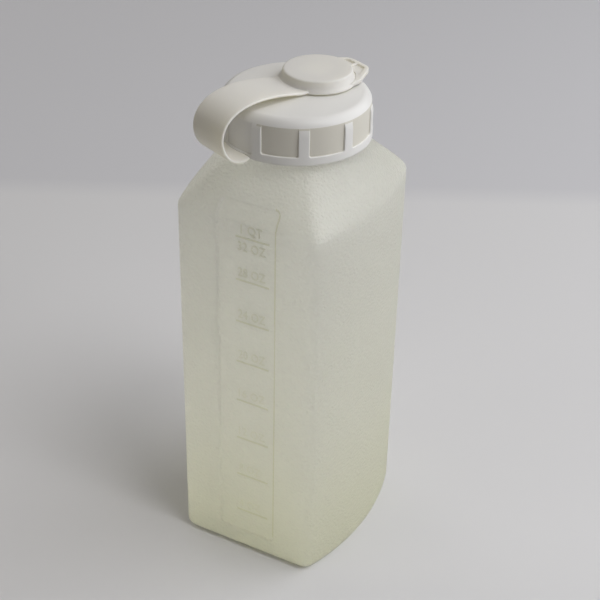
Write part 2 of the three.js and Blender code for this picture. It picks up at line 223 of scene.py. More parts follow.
STOPPER_UNDER = ((13.3, 222.65), (10.2, 222.65), (9.8, 222.4), (9.65, 220.8), (9.5, 219.4),
                 (9.25, 218.4), (8.95, 217.95), (8.6, 217.8), (8.2, 217.85), (7.9, 218.1),
                 (8.1, 219.6), (8.35, 221.9), (8.0, 222.4), (5, 222.45), (0, 222.45))
TAB_ARC_R = 15.75                  # where the tab ends, inside the stopper's wall
TAB_HALF_ANGLE = 74.0
TAB_CORNERS = ((9.9, 15.1), (22.9, 6.5), (22.9, -6.5), (9.9, -15.1))
TAB_ROUND = 3.0
POCKET_CORNERS = ((15.9, 0.6), (21.1, 0.6), (21.1, 5.3), (13.6, 10.5))
POCKET_ROUND = 1.0
TAB_FLOOR = (219.0, 219.9, 0.2)    # lowest, highest and bevel
TAB_RIM = (219.25, 220.8, 0.22)
SEAL_IN_R = 25.2
SEAL_ROUND = 0.5


# ---------------------------------------------------------- helpers

def smooth(t):
    """Eases from 0 to 1."""
    t = np.clip(t, 0, 1)
    return t * t * (3 - 2 * t)


def mix(a, b, t):
    """The value a share t of the way from a to b."""
    return a + (b - a) * t


def to_world(s, w, z):
    """Points given outward towards the strap, across it, and up."""
    s, w, z = np.broadcast_arrays(s, w, z)
    return np.stack([s * OUTWARD[0] + w * ACROSS[0], s * OUTWARD[1] + w * ACROSS[1], z], -1)


def make_object(name, points, faces, sharp=SHARP):
    """A mesh object from millimetre points, with outward faces, smooth up to an angle."""
    mesh = bpy.data.meshes.new(name)
    mesh.from_pydata((np.asarray(points) * MM).tolist(), [], faces)
    work = bmesh.new()
    work.from_mesh(mesh)
    bmesh.ops.remove_doubles(work, verts=work.verts, dist=1e-7)
    bmesh.ops.recalc_face_normals(work, faces=work.faces)
    work.to_mesh(mesh)
    work.free()
    mesh.shade_smooth()
    mesh.set_sharp_from_angle(angle=math.radians(sharp))
    piece = bpy.data.objects.new(name, mesh)
    bpy.context.scene.collection.objects.link(piece)
    return piece


def skin(rows, ring=False, poles=(None, None)):
    """Points and faces over rows of equally many points, each row closed round. ring joins the
    last row to the first, and poles are the points that close the two ends."""
    rows = np.asarray(rows, float)
    count, around = rows.shape[:2]
    points = rows.reshape(-1, 3).tolist()
    faces = []
    for k in range(count if ring else count - 1):
        here = k * around
        there = ((k + 1) % count) * around
        for i in range(around):
            j = (i + 1) % around
            faces.append((here + i, here + j, there + j, there + i))
    for pole, first, turn in ((poles[0], 0, 1), (poles[1], (count - 1) * around, -1)):
        if pole is None:
            continue
        hub = len(points)
        points.append(list(pole))
        for i in range(around):
            j = (i + 1) % around
            faces.append((hub, first + j, first + i)[::turn])
    return points, faces


def joined(name, parts):
    """One object from several (points, faces) parts."""
    points = []
    faces = []
    for part_points, part_faces in parts:
        base = len(points)
        points.extend(np.asarray(part_points).tolist())
        faces.extend(tuple(base + v for v in face) for face in part_faces)
    return make_object(name, points, faces)


def curve_mesh(curve):
    """Points and faces of a curve or a text, which is used up."""
    shape = bpy.data.objects.new("shape", curve)
    bpy.context.scene.collection.objects.link(shape)
    graph = bpy.context.evaluated_depsgraph_get()
    mesh = bpy.data.meshes.new_from_object(shape.evaluated_get(graph))
    points = np.array([v.co for v in mesh.vertices])
    faces = [tuple(p.vertices) for p in mesh.polygons]
    bpy.data.objects.remove(shape)
    bpy.data.curves.remove(curve)
    bpy.data.meshes.remove(mesh)
    return points, faces


def circle_angles(steps):
    """Equal steps round a circle."""
    return np.linspace(0, 2 * math.pi, steps, endpoint=False)


def row_normals(rows):
    """Unit outward normals of rows that close round and run out over the base, then up."""
    along = np.gradient(rows, axis=0)
    round_ = np.roll(rows, -1, axis=1) - np.roll(rows, 1, axis=1)
    normal = np.cross(round_, along)
    return normal / np.linalg.norm(normal, axis=2, keepdims=True)


def rounded_box(x, z, x_span, z_span, corner):
    """Signed distance to a rounded rectangle, negative inside."""
    half_x = (x_span[1] - x_span[0]) / 2 - corner
    half_z = (z_span[1] - z_span[0]) / 2 - corner
    dx = np.abs(x - (x_span[0] + x_span[1]) / 2) - half_x
    dz = np.abs(z - (z_span[0] + z_span[1]) / 2) - half_z
    outside = np.hypot(np.maximum(dx, 0), np.maximum(dz, 0))
    return outside + np.minimum(np.maximum(dx, dz), 0) - corner


def thread_height(angle, z, start_z):
    """Share of the full thread height on a cylinder, from 0 to 1."""
    best = np.zeros(np.broadcast(angle, z).shape)
    for turn in range(math.ceil(THREAD_TURNS)):
        run = (angle % (2 * math.pi)) / (2 * math.pi) + turn
        off = np.abs(z - start_z - PITCH * run)
        flank = np.clip((ROOT_HALF - off) / (ROOT_HALF - CREST_HALF), 0, 1)
        fade = smooth(np.minimum(run, THREAD_TURNS - run) / THREAD_FADE)
        best = np.maximum(best, flank * fade)
    return best


# ---------------------------------------------------------- bottle

def front_columns(reach):
    """x of the columns on the graduated face, close together at the strip's and marks' edges."""
    strip_edge = [0.25 * step for step in range(-6, 6)]
    mark_edge = (-0.35, -0.1, 0.15, 0.4)
    columns = [-reach, -reach + 0.5, -24, -20, -17]
    columns += [STRIP_X[0] + offset for offset in strip_edge]
    columns += [-10.5, -8.5, -6.5]
    columns += [MARK_X[0] + offset for offset in mark_edge]
    columns += list(np.arange(-3.5, 10.0, 2.0))
    columns += [MARK_X[1] - offset for offset in mark_edge[::-1]]
    columns += [STRIP_X[1] + offset for offset in strip_edge]
    columns += [18, 21, 24.5, reach - 0.5, reach]
    return np.array(columns)


def corner_round(half_x, half_y, bow, corner):
    """Where a corner's rounding starts on the bowed side, and its centre."""
    along = np.array([-2 * bow, half_y])
    along /= np.hypot(*along)
    cut = corner * math.tan(math.acos(-along[0]) / 2)
    start = np.array([half_x - bow, half_y]) - along * cut
    return start, start + corner * np.array([-along[1], along[0]])


FLAT_REACH = corner_round(HALF_X[0], HALF_Y[0], SIDE_BOW[0], CORNER_R)[1][0]


def plan(half_x, half_y, bow, corner):
    """The body's outline in plan: flat front and back, bowed sides, small round corners."""
    side_steps = 16
    corner_steps = 9
    back_steps = 14
    start, centre = corner_round(half_x, half_y, bow, corner)
    last = start[1] / half_y
    t = np.linspace(0, last, side_steps)
    meet = start[0] - (half_x - bow * last ** 2)
    side = np.stack([half_x - bow * t ** 2 + meet * (t / last) ** 4, half_y * t], -1)
    first = math.atan2(start[1] - centre[1], start[0] - centre[0])
    angles = np.linspace(first, math.pi / 2, corner_steps)[1:]
    arc = centre + corner * np.stack([np.cos(angles), np.sin(angles)], -1)
    quarter = np.concatenate([side, arc])
    reach = centre[0]
    front = (front_columns(FLAT_REACH) * reach / FLAT_REACH)[1:-1]
    back = np.linspace(reach, -reach, back_steps)[1:-1]
    return np.concatenate([
        quarter,
        np.column_stack([back, np.full(len(back), half_y)]),
        (quarter * [-1, 1])[::-1][:-1],
        quarter * [-1, -1],
        np.column_stack([front, np.full(len(front), -half_y)]),
        (quarter * [1, -1])[::-1][:-1]])


def body_loop(z, inset=0.0):
    """One level outline of the body, drawn in by an inset."""
    t = min(max(z / BARREL_TOP, 0), 1)
    corner = max(CORNER_R - inset * CORNER_SHRINK, CORNER_LEAST)
    return plan(mix(*HALF_X, t) - inset, mix(*HALF_Y, t) - inset, mix(*SIDE_BOW, t), corner)


def with_z(outline, z):
    """A flat outline at a height."""
    return np.column_stack([outline, np.full(len(outline), z)])


def foot_rows():
    """From near the middle of the base out over the standing ring to the side."""
    middle = body_loop(0, BASE_INSET)
    rows = [with_z(middle * share, PUSH_UP + BASE_CROWN * (1 - share ** 2))
            for share in (0.12, 0.35, 0.6, 0.82)]
    for t in np.linspace(0, 1, 9):
        inset = mix(BASE_INSET, RING_INSET[1], t)
        rows.append(with_z(body_loop(0, inset), PUSH_UP * (1 - smooth(t))))
    rows.append(with_z(body_loop(0, RING_INSET[0]), 0))
    for angle in np.radians(np.linspace(0, 90, 9)[:-1]):
        z = FOOT_EDGE * (1 - math.cos(angle))
        rows.append(with_z(body_loop(z, FOOT_EDGE * (1 - math.sin(angle))), z))
    return rows


def barrel_levels():
    """Heights on the straight part, close together at the strip's foot and at each mark."""
    least_gap = 0.15
    gap_below_shoulder = 0.2
    levels = list(np.arange(FOOT_EDGE, SHOULDER_Z, BARREL_STEP))
    levels += list(np.arange(STRIP_Z[0] - 1.5, STRIP_Z[0] + 1.5, 0.25))
    levels += list(np.arange(STRIP_Z[0] + 1.5, STRIP_Z[0] + 5.5, 0.5))
    for k in range(MARKS):
        middle = MARK_Z + MARK_STEP * k
        levels += [middle + offset for offset in (-0.6, -0.42, -0.25, 0.25, 0.42, 0.6)]
    levels = sorted(levels)
    kept = levels[:1]
    for z in levels[1:]:
        if z - kept[-1] > least_gap and SHOULDER_Z - z > gap_below_shoulder:
            kept.append(z)
    return kept


def shoulder_rows():
    """The barrel's outline drawn in and rounded to the neck's circle, with close rows at the
    crease and at the strip's top."""
    p, q = SHOULDER_SHAPE
    barrel = body_loop(SHOULDER_Z)
    reach = np.hypot(barrel[:, 0], barrel[:, 1])
    heights = [0, 0.12, 0.3, 0.55, 0.9, 1.3, 1.8, 2.3, 2.8]
    heights += list(np.arange(3.2, 9.2, 0.25)) + list(np.arange(9.8, SHOULDER_RISE, 0.9))
    rows = []
    for height in heights:
        share = (1 - (height / SHOULDER_RISE) ** p) ** q
        scale = (NECK_R + (reach - NECK_R) * share) / reach
        rows.append(with_z(barrel * scale[:, None], SHOULDER_Z + height))
    return rows


def neck_rows():
    """The plain neck cylinder, fine enough for the thread."""
    barrel = body_loop(SHOULDER_Z)
    circle = barrel * (NECK_R / np.hypot(barrel[:, 0], barrel[:, 1]))[:, None]
    levels = np.arange(SHOULDER_Z + SHOULDER_RISE, NECK_TOP - LIP_ROUND, NECK_STEP)
    return [with_z(circle, z) for z in levels]


def strip_offset(points, grow):
    """How far the graduated strip lifts the skin, negative inwards. grow widens it for the
    inside, which has no marks."""
    x, y, z = points[..., 0], points[..., 1], points[..., 2]
    x_span = (STRIP_X[0] - grow, STRIP_X[1] + grow)
    z_span = (STRIP_Z[0] - grow, STRIP_Z[1] + grow)
    edge = rounded_box(x, z, x_span, z_span, STRIP_CORNER + grow)
    sunk = smooth(0.5 - edge / STRIP_EDGE) * (y < FRONT_Y)
    offset = -STRIP_DEPTH * sunk
    if grow == 0:
        nearest = np.clip(np.round((z - MARK_Z) / MARK_STEP), 0, MARKS - 1)
        from_mark = z - (MARK_Z + MARK_STEP * nearest)
        bar = rounded_box(x, from_mark, MARK_X, (-MARK_HALF, MARK_HALF), MARK_CORNER)
        offset = offset + MARK_RISE * smooth(0.5 - bar / MARK_EDGE) * sunk
    return offset


def make_bottle():
    """The bottle's whole wall: outside with strip and thread, lip, and inside."""
    lower = foot_rows() + [with_z(body_loop(z), z) for z in barrel_levels()] + shoulder_rows()
    neck = neck_rows()
    plain = np.array(lower + neck)
    normal = row_normals(plain)
    wall = np.full(len(plain), WALL)
    wall[len(lower):] = NECK_WALL
    wall[len(lower) - WALL_EASE:len(lower)] = np.linspace(WALL, NECK_WALL, WALL_EASE)
    inside = plain - normal * wall[:, None, None]
    inside = inside + normal * strip_offset(inside, WALL)[..., None]
    angle = np.arctan2(plain[..., 1], plain[..., 0])
    lift = NECK_THREAD_RISE * thread_height(angle, plain[..., 2], NECK_THREAD_Z)
    lift[:len(lower)] = 0
    outside = plain + normal * strip_offset(plain, 0)[..., None]
    outside = outside + normal * lift[..., None]
    unit = neck[-1][:, :2] / NECK_R
    lip = [with_z(unit * radius, NECK_TOP + z) for radius, z in LIP]
    rows = np.concatenate([outside, lip, inside[::-1]])
    low = PUSH_UP + BASE_CROWN
    poles = ((0, 0, low), (0, 0, low + WALL))
    piece = make_object("bottle_shell", *skin(rows, poles=poles), sharp=BOTTLE_SHARP)
    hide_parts("bottle_body")
    return piece


def body_depth(point):
    """Rough distance in from the side of the body."""
    from_side = HALF_X[0] - SIDE_BOW[0] * (point.y / HALF_Y[0]) ** 2 - abs(point.x)
    return min(from_side, HALF_Y[0] - abs(point.y))


def on_base(point):
    """True on the base, which scatters the light that reaches it."""
    return point.z < BASE_TOP and body_depth(point) > BASE_DEPTH


def on_mark_or_shaded_step(point):
    """True on the marks, which are tinted darker and yellower, and on the step down the strip's
    right side, where the same tint is painted shade."""
    if point.y > FRONT_Y:
        return False
    from_mark = abs((point.z - MARK_Z + MARK_STEP / 2) % MARK_STEP - MARK_STEP / 2)
    below_top = point.z < MARK_Z + MARK_STEP * (MARKS - 0.5)
    mark = from_mark < MARK_HALF and MARK_X[0] < point.x < MARK_X[1] and below_top
    edge = rounded_box(point.x + STEP_SHIFT, point.z, STRIP_X, STRIP_Z, STRIP_CORNER)
    on_right = point.x > STRIP_X[1] - 3 and point.z > STRIP_Z[0] + 2
    return mark or (on_right and abs(float(edge)) < STEP_HALF)


def scale_labels():
    """Each label's text, mark, height over the mark, width and indent."""
    top = MARKS - 1
    labels = [("1 QT", top, FIGURE_ABOVE, QUART_WIDTH, QUART_INDENT)]
    ounces = [(top, -FIGURE_BELOW - FIGURE_HEIGHT)] + [(k, FIGURE_ABOVE) for k in range(top)]
    for k, above in ounces:
        text = f"{OUNCES_PER_MARK * (k + 1)} OZ"
        labels.append((text, k, above, FIGURE_WIDTHS[len(text)], FIGURE_INDENT))
    return labels


def make_numerals():
    """Raised figures of the scale, in fluid ounces, by their marks."""
    parts = []
    for text, k, above, width, indent in scale_labels():
        curve = bpy.data.curves.new("figure", "FONT")
        curve.body = text
        curve.size = FIGURE_HEIGHT / CAPITAL_SHARE
        curve.extrude = FIGURE_RISE + FIGURE_RISE_STEP * k
        curve.bevel_depth = FIGURE_BEVEL
        curve.bevel_resolution = 0
        curve.resolution_u = 3
        curve.space_character = FIGURE_SPACING
        at, faces = curve_mesh(curve)
        along = at[:, 0] - at[:, 0].min()
        z = MARK_Z + MARK_STEP * k + above
        face = -mix(*HALF_Y, min(z / BARREL_TOP, 1)) + STRIP_DEPTH
        x = MARK_X[0] + indent + along * (width / along.max())
        parts.append((np.stack([x, face - at[:, 2], z + at[:, 1]], -1), faces))
    return joined("scale_figures", parts)


# ---------------------------------------------------------- cap

def cap_columns():
    """Angles round the cap from the strap's direction, close together at the panels' edges."""
    angles = []
    for k in range(PANELS):
        middle = PANEL_AZ + 360 / PANELS * k
        angles += [middle - PANEL_HALF + offset for offset in PANEL_EDGE_COLUMNS]
        angles += list(middle + PANEL_COLUMNS)
        angles += [middle + PANEL_HALF - offset for offset in PANEL_EDGE_COLUMNS[::-1]]
        angles += [middle + 180 / PANELS]
    return np.radians(np.array(angles))


def cap_radius(z):
    """Outer radius on the skirt and its rounded upper edge."""
    up = np.clip((z - CAP_EDGE_Z) / CAP_EDGE[1], 0, 1)
    return CAP_R - CAP_EDGE[0] + CAP_EDGE[0] * np.sqrt(1 - up * up)


def dome_z(radius):
    """Height of the slightly domed top."""
    return CAP_TOP_Z - DOME_DROP * np.clip(radius / (CAP_R - CAP_EDGE[0]), 0, 1) ** DOME_POWER


def recessed(angle, z):
    """Radius of the skirt with its shallow panels, which run out in the rounded edge above."""
    step = 2 * math.pi / PANELS
    first = math.radians(PANEL_AZ)
    number = np.round((angle - first) / step)
    low = np.where(number % PANELS == 0, CAP_Z + STRAP_PANEL_FOOT, PANEL_Z[0])
    dx = np.abs((angle - first - number * step) * CAP_R) - math.radians(PANEL_HALF) * CAP_R
    dz = low - z
    beside, below = dx + PANEL_CORNER, dz + PANEL_CORNER
    edge = np.hypot(np.maximum(beside, 0), np.maximum(below, 0)) - PANEL_CORNER
    edge = np.where((dx < -PANEL_CORNER) & (dz < -PANEL_CORNER), np.maximum(dx, dz), edge)
    sunk = smooth(0.5 - edge / PANEL_EDGE)
    outer = cap_radius(z)
    return np.minimum(outer, mix(outer, CAP_R - PANEL_DEPTH, sunk))


def on_panel_painted_shade(point):
    """True on the floor of one of the skirt's shallow panels, away from the strap: the faces that
    get painted shade.
    """
    radius = math.hypot(point.x, point.y)
    towards_strap = point.x * OUTWARD[0] + point.y * OUTWARD[1]
    under_strap = towards_strap > radius * math.cos(math.radians(UNDER_STRAP_HALF))
    on_floor = SKIRT_IN_R + 1 < radius < CAP_R - 0.7 * PANEL_DEPTH
    between_edges = CAP_Z + 2 < point.z < PANEL_Z[1] - 0.5
    return on_floor and between_edges and not under_strap


def make_cap():
    """The cap's whole wall, from the collar's bore out over the top, down the skirt and back
    inside with thread and seal fin."""
    angle = cap_columns()
    unit_s, unit_w = np.cos(angle), np.sin(angle)
    rows = []

    def ring(radius, z, back=0.0):
        rows.append(to_world(radius * unit_s - back, radius * unit_w, z))

    for radius, z in COLLAR:
        ring(radius, z, STOPPER_BACK)
    for t in DOME_SHARES:
        radius = mix(COLLAR_FOOT_R, CAP_R - CAP_EDGE[0], t)
        s, w = radius * unit_s - STOPPER_BACK * (1 - t), radius * unit_w
        fillet = COLLAR_FILLET * max(0, 1 - t / COLLAR_FILLET_SHARE)
        rows.append(to_world(s, w, dome_z(np.hypot(s, w)) + fillet))
    edge_levels = CAP_EDGE_Z + CAP_EDGE[1] * np.sin(np.radians(EDGE_ANGLES))
    for z in [*edge_levels, *PANEL_LEVELS, *PANEL_FOOT_LEVELS]:
        ring(recessed(angle, z), z)
    for radius, z in SKIRT_FOOT:
        ring(radius, z)
    for z in np.arange(CAP_Z + 0.6, CAP_THREAD_TOP, CAP_THREAD_STEP):
        thread = thread_height(angle + STRAP_AZ, z, NECK_THREAD_Z - PITCH / 2)
        ring(SKIRT_IN_R - CAP_THREAD_RISE * thread, z)
    for radius, z in CAP_CEILING:
        ring(radius, z)
    for t in np.linspace(0.15, 1, 7):
        z = mix(CEILING_Z, BORE_CEILING_Z, smooth(t * 1.4))
        ring(mix(FIN_END_R, BORE_R + 0.3, t), z, STOPPER_BACK * t)
    piece = make_object("cap_shell", *skin(rows, ring=True))
    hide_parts("screw_cap")
    return piece


# ---------------------------------------------------------- strap and stopper

def strap_point(t):
    """A point on the strap's middle line, in the strap's side view."""
    a, b, c, d = (np.array(p) for p in STRAP_LINE)
    t = np.asarray(t)[..., None]
    return (1 - t) ** 3 * a + 3 * (1 - t) ** 2 * t * b + 3 * (1 - t) * t ** 2 * c + t ** 3 * d


STRAP_FINE = strap_point(np.linspace(0, 1, 2001))
STRAP_RUN = np.concatenate([[0], np.cumsum(np.hypot(*np.diff(STRAP_FINE, axis=0).T))])
STRAP_LENGTH = STRAP_RUN[-1]


def strap_frame(run):
    """Middle points and directions at runs along the strap. Past its inner end the line bends
    until it is level, over ROOT_RUN, and stays level."""
    def middle(at_run):
        return np.array([np.interp(at_run, STRAP_RUN, STRAP_FINE[:, axis]) for axis in (0, 1)])

    inside = np.clip(run, TANGENT_STEP, STRAP_LENGTH - TANGENT_STEP)
    way = middle(inside + TANGENT_STEP) - middle(inside - TANGENT_STEP)
    way = way / np.hypot(*way)
    at = middle(inside) + way * (run - inside)
    past = np.maximum(0, run - STRAP_LENGTH)
    at[1] += ROOT_BEND * np.minimum(past, ROOT_RUN) ** 2 - way[1] * np.maximum(0, past - ROOT_RUN)
    return at, way


def strap_section(run, end=0.0, thickness=STRAP_T):
    """A flat band's section with rounded edges. end goes from 0 to 1 towards a section that
    follows the stopper's wall."""
    rounding = STRAP_T / 2
    angles = np.radians(np.linspace(-90, 90, 9))
    rim = STRAP_HALF - rounding + rounding * np.cos(angles)
    flat = np.linspace(STRAP_HALF - rounding, rounding - STRAP_HALF, 13)[1:-1]
    across = np.concatenate([rim, flat, -rim, -flat])
    level = np.ones(len(flat))
    off = thickness / 2 * np.concatenate([np.sin(angles), level, -np.sin(angles), -level])
    low, way = strap_frame(STRAP_LENGTH)
    wall_s = np.sqrt(ROOT_ARC_R ** 2 - across ** 2) - STOPPER_BACK
    at, way = strap_frame(mix(run, STRAP_LENGTH + (wall_s - low[0]) / way[0], end))
    spot = at + np.array([way[1], -way[0]]) * off
    return to_world(spot[0], across, spot[1])


def make_strap():
    """Five lengths of one strap, each over one hinge. The last ends flat inside the stopper's
    wall."""
    bodies = ["cap"] + [f"link_{k}" for k in range(1, LINKS + 1)] + ["stopper"]
    link = STRAP_LENGTH / LINKS
    shares = np.linspace(0, 1, STRAP_STEPS)
    pieces = []
    for k in range(LINKS + 1):
        middle = link * k
        start = -STRAP_TUCK if k == 0 else middle - link / 2
        if k == LINKS:
            rows = [strap_section(start, share) for share in shares]
            rows.append(strap_section(start, 1.0, 0.0))
            last = None
        else:
            rows = [strap_section(mix(start, middle + link / 2, share)) for share in shares]
            last = np.mean(rows[-1], axis=0)
        poles = (np.mean(rows[0], axis=0), last)
        piece = make_object(f"strap_{k}", *skin(rows, poles=poles))
        low, way = strap_frame(middle)
        before, after = BEND_REACH.get(k, (link / 2 - BEND_MARGIN, link / 2 - BEND_MARGIN))
        if k > 0:
            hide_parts(f"strap_link_{k}")
        pieces.append((piece, bodies[k], bodies[k + 1], low - way * before, low + way * after))
    return pieces


def lathe(profile, back, steps=128):
    """A closed turned part from (radius, z) points whose first and last are on the axis."""
    angle = circle_angles(steps)
    rows = [to_world(r * np.cos(angle) - back, r * np.sin(angle), z) for r, z in profile[1:-1]]
    ends = [to_world(-back, 0.0, profile[0][1]), to_world(-back, 0.0, profile[-1][1])]
    return skin(rows, poles=ends)


def rounded_outline(corners, radius, steps=6):
    """A closed outline with its corners rounded."""
    corners = [np.array(c, float) for c in corners]
    points = []
    for i, here in enumerate(corners):
        before = corners[i - 1] - here
        after = corners[(i + 1) % len(corners)] - here
        start = here + before / np.hypot(*before) * min(radius, np.hypot(*before) / 2)
        end = here + after / np.hypot(*after) * min(radius, np.hypot(*after) / 2)
        for t in np.linspace(0, 1, steps):
            points.append((1 - t) ** 2 * start + 2 * t * (1 - t) * here + t * t * end)
    return np.array(points)


def bevelled_plate(outlines, low, high, bevel):
    """A flat plate over an outline with holes, its edges rounded, in the strap's directions."""
    curve = bpy.data.curves.new("plate", "CURVE")
    curve.dimensions = "2D"
    curve.fill_mode = "BOTH"
    curve.extrude = (high - low) / 2 - bevel
    curve.bevel_depth = bevel
    curve.bevel_resolution = 2
    curve.offset = -bevel
    for outline in outlines:
        spline = curve.splines.new("POLY")
        spline.points.add(len(outline) - 1)
        for point, (s, w) in zip(spline.points, outline):
            point.co = (s, w, 0, 1)
        spline.use_cyclic_u = True
    at, faces = curve_mesh(curve)
    return to_world(at[:, 0], at[:, 1], at[:, 2] + (low + high) / 2), faces


def behind_stopper(points):
    """Outline points given away from the strap and across, from the stopper's axis."""
    return [(-STOPPER_BACK - x, w) for x, w in points]


def make_stopper():
    """The stopper's disc with its plug, and the pull tab: a floor under a rim with two
    pockets."""
    disc = [(0, STOPPER_TOP), (6, STOPPER_TOP), (11, STOPPER_TOP), (13.4, STOPPER_TOP - 0.02)]
    for angle in np.radians(np.linspace(72, 0, 6)):
        disc.append((STOPPER_RIM_R + STOPPER_RIM_ROUND * math.cos(angle),
                     STOPPER_TOP - STOPPER_RIM_ROUND + STOPPER_RIM_ROUND * math.sin(angle)))
    disc += STOPPER_WALL + STOPPER_UNDER
    angles = np.radians(np.linspace(-TAB_HALF_ANGLE, TAB_HALF_ANGLE, 25))
    arc = np.stack([TAB_ARC_R * np.cos(angles), TAB_ARC_R * np.sin(angles)], -1)
    tip = rounded_outline(TAB_CORNERS, TAB_ROUND)[3:-3]
    tongue = behind_stopper(np.concatenate([tip, arc]))
    pockets = []
    for side in (1, -1):
        corners = [(x, side * w) for x, w in POCKET_CORNERS]
        pockets.append(behind_stopper(rounded_outline(corners, POCKET_ROUND)))
    parts = [lathe(disc, back=STOPPER_BACK),
             bevelled_plate([tongue], *TAB_FLOOR),
             bevelled_plate([tongue] + pockets, *TAB_RIM)]
    piece = joined("stopper_shell", parts)
    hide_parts("flip_stopper")
    return piece


def make_seal():
    """A soft ring of nearly square section with rounded corners."""
    outer = seal_high[0]
    middle_r, middle_z = (SEAL_IN_R + outer) / 2, (seal_low[2] + seal_high[2]) / 2
    half_r, half_z = (outer - SEAL_IN_R) / 2, (seal_high[2] - seal_low[2]) / 2
    corners = [(half_r, -half_z), (half_r, half_z), (-half_r, half_z), (-half_r, -half_z)]
    angle = circle_angles(120)
    rows = [to_world((middle_r + r) * np.cos(angle), (middle_r + r) * np.sin(angle), middle_z + z)
            for r, z in rounded_outline(corners, SEAL_ROUND)]
    piece = make_object("seal_band", *skin(rows, ring=True))
    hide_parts("seal_ring")
    return piece


# ---------------------------------------------------------- materials

MILKY_TOP_Z = 0.2                  # metres: the tones run from the floor up to here
MILKY_TONES = ((0.0, (0.995, 0.995, 0.90)), (0.35, (0.995, 0.995, 0.945)),
               (1.0, (0.995, 0.995, 0.97)))
OFF_WHITE_CLOUD = ((0.91, 0.91, 0.90), (0.93, 0.93, 0.92))
OFF_WHITE_THROUGH = (0.985, 0.94, 0.72)
SEAL_CLOUD = ((0.82, 0.81, 0.77), (0.86, 0.85, 0.82))
NOISE_RANGE = (0.3, 0.7)           # where most of a noise's values lie


def new_material(name):
    """A material with its node tree, its shader and the object's own coordinates."""
    material = bpy.data.materials.new(name)
    material.use_nodes = True
    tree = material.node_tree
    coords = tree.nodes.new("ShaderNodeTexCoord").outputs["Object"]
    return material, tree, tree.nodes["Principled BSDF"], coords


def noise(tree, coords, scale, detail=2.0):
    """A noise value from 0 to 1, scale in cells per metre."""
    node = tree.nodes.new("ShaderNodeTexNoise")
    node.inputs["Scale"].default_value = scale
    node.inputs["Detail"].default_value = detail
    tree.links.new(coords, node.inputs["Vector"])
    return node.outputs["Fac"]


def ramp(tree, value, stops):
    """A colour from (place, colour) stops."""
    node = tree.nodes.new("ShaderNodeValToRGB")
    elements = node.color_ramp.elements
    while len(elements) < len(stops):
        elements.new(0.5)
    for element, (place, colour) in zip(elements, stops):
        element.position = place
        element.color = (*colour, 1)
    tree.links.new(value, node.inputs["Fac"])
    return node.outputs["Color"]


def remap(tree, value, from_low, from_high, to_low, to_high):
    """A value moved from one range to another."""
    node = tree.nodes.new("ShaderNodeMapRange")
    for socket, number in zip(("From Min", "From Max", "To Min", "To Max"),
                              (from_low, from_high, to_low, to_high)):
        node.inputs[socket].default_value = number
    tree.links.new(value, node.inputs["Value"])
    return node.outputs["Result"]


def cloudy(tree, shader, coords, scale, colours, detail=2.0):
    """Lets the base colour drift between two colours."""
    value = noise(tree, coords, scale, detail)
    colour = ramp(tree, value, tuple(zip(NOISE_RANGE, colours)))
    tree.links.new(colour, shader.inputs["Base Color"])


def vary_roughness(tree, shader, coords, scale, low, high):
    """Lets the roughness drift between two values."""
    value = remap(tree, noise(tree, coords, scale), *NOISE_RANGE, low, high)
    tree.links.new(value, shader.inputs["Roughness"])


def bump(tree, shader, height, distance, strength):
    """Bumps the shader's surface by a height, and returns the bumped normal."""
    node = tree.nodes.new("ShaderNodeBump")
    node.inputs["Strength"].default_value = strength
    node.inputs["Distance"].default_value = distance
    tree.links.new(height, node.inputs["Height"])
    tree.links.new(node.outputs["Normal"], shader.inputs["Normal"])
    return node.outputs["Normal"]


def let_light_through(tree, shader, share, normal):
    """Mixes in a share of the light that a thin wall passes and scatters. Returns the socket
    for its colour."""
    through = tree.nodes.new("ShaderNodeBsdfTranslucent")
    tree.links.new(normal, through.inputs["Normal"])
    both = tree.nodes.new("ShaderNodeMixShader")
    both.inputs["Fac"].default_value = share
    tree.links.new(shader.outputs["BSDF"], both.inputs[1])
    tree.links.new(through.outputs["BSDF"], both.inputs[2])
    tree.links.new(both.outputs["Shader"], tree.nodes["Material Output"].inputs["Surface"])
    return through.inputs["Color"]


def tinted(colour, tint):
    """A colour times a tint, as plain numbers."""
    return tuple(np.multiply(colour, tint).tolist())


def milky_plastic(name, low_tint, high_tint, share=0.68, transmission=0.55):
    """Natural polyethylene: it passes light but scatters it, and its colour turns yellower
    towards the foot. The tints are for the foot and the shoulder."""
    material, tree, shader, coords = new_material(name)
    split = tree.nodes.new("ShaderNodeSeparateXYZ")
    tree.links.new(coords, split.inputs[0])
    tones = [(place, tinted(tone, mix(np.array(low_tint), np.array(high_tint), place)))
             for place, tone in MILKY_TONES]
    colour = ramp(tree, remap(tree, split.outputs["Z"], 0.0, MILKY_TOP_Z, 0, 1), tones)
    tree.links.new(colour, shader.inputs["Base Color"])
    vary_roughness(tree, shader, coords, 60, 0.30, 0.36)
    shader.inputs["IOR"].default_value = 1.5
    shader.inputs["Specular IOR Level"].default_value = 1.0
    shader.inputs["Transmission Weight"].default_value = transmission
    shader.inputs["Coat Weight"].default_value = 1.0
    shader.inputs["Coat Roughness"].default_value = 0.24
    shader.inputs["Coat IOR"].default_value = 1.7
    pebbles = bump(tree, shader, noise(tree, coords, 800, 1.0), 0.0008, 0.85)
    tree.links.new(pebbles, shader.inputs["Coat Normal"])
    tree.links.new(colour, let_light_through(tree, shader, share, pebbles))
    return material


def off_white_plastic(name, tint, share):
    """Satin moulded polypropylene: neutral where it is lit, warmer where light comes through."""
    material, tree, shader, coords = new_material(name)
    colours = [tinted(colour, tint) for colour in OFF_WHITE_CLOUD]
    cloudy(tree, shader, coords, 45, colours, detail=3.0)
    vary_roughness(tree, shader, coords, 120, 0.38, 0.46)
    shader.inputs["IOR"].default_value = 1.49
    grain = bump(tree, shader, noise(tree, coords, 1400), 0.0001, 0.2)
    let_light_through(tree, shader, share, grain).default_value = (*OFF_WHITE_THROUGH, 1)
    return material


